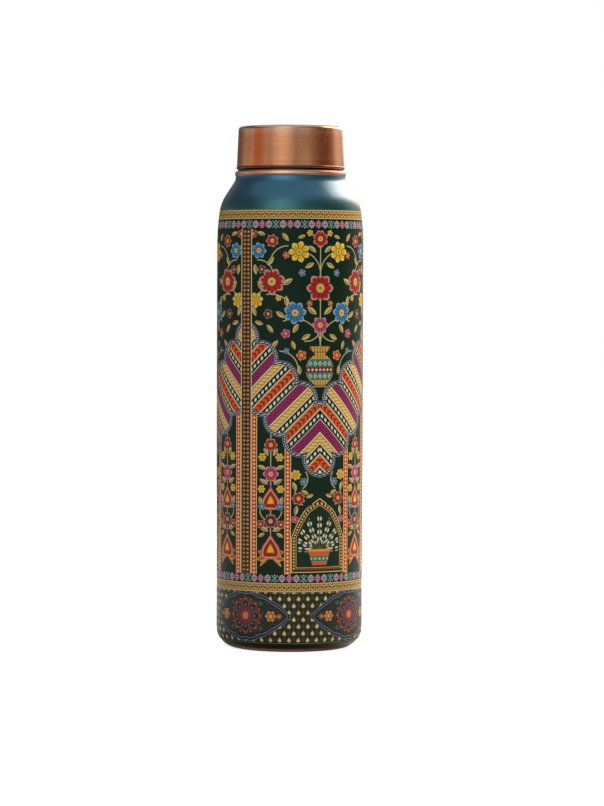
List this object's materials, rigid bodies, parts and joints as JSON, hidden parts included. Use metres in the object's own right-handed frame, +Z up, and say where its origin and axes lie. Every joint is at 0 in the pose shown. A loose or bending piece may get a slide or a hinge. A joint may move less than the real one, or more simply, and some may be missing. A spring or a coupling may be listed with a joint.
{
  "type": "copper water bottle",
  "caption": "Tall copper water bottle with a round shoulder, a screw cap in brushed copper, and a dark green lacquered body printed all round with flowers and striped bands.",
  "frame": {"origin": "centre of the base, on the plane that the foot ring stands on", "axes": "+Z up along the bottle's axis, through the mouth; X and Y are alike on the solids, and the print's first column stands at -36 degrees from -Y"},
  "size_m": [0.073, 0.073, 0.2598],
  "materials": {
    "brushed_copper": "copper brushed round the axis, satin",
    "bare_copper": "bare spun copper, lightly dulled",
    "printed_lacquer": "dark green satin lacquer with a printed floral pattern",
    "silicone": "matt translucent white silicone"
  },
  "bodies": {
    "bottle": {"bottle_body": "bare_copper", "base_pan": "bare_copper", "threaded_neck": "brushed_copper", "printed_coat": "printed_lacquer"},
    "gasket": {"cap_gasket": "silicone"},
    "cap": {"cap_shell": "brushed_copper", "cap_liner": "bare_copper"}
  },
  "joints": [
    {"name": "cap_rise", "type": "slide", "parent": "bottle", "child": "gasket", "axis": [0, 0, 1], "range_m": [0, 0.024]},
    {"name": "cap_turn", "type": "hinge", "parent": "gasket", "child": "cap", "pos_m": [0, 0, 0.2561], "axis": [0, 0, 1], "range_deg": [0, 1440]}
  ],
  "couplings": [
    {"joint": "cap_rise", "follows": "cap_turn", "m_per_rad": 0.00095493}
  ]
}
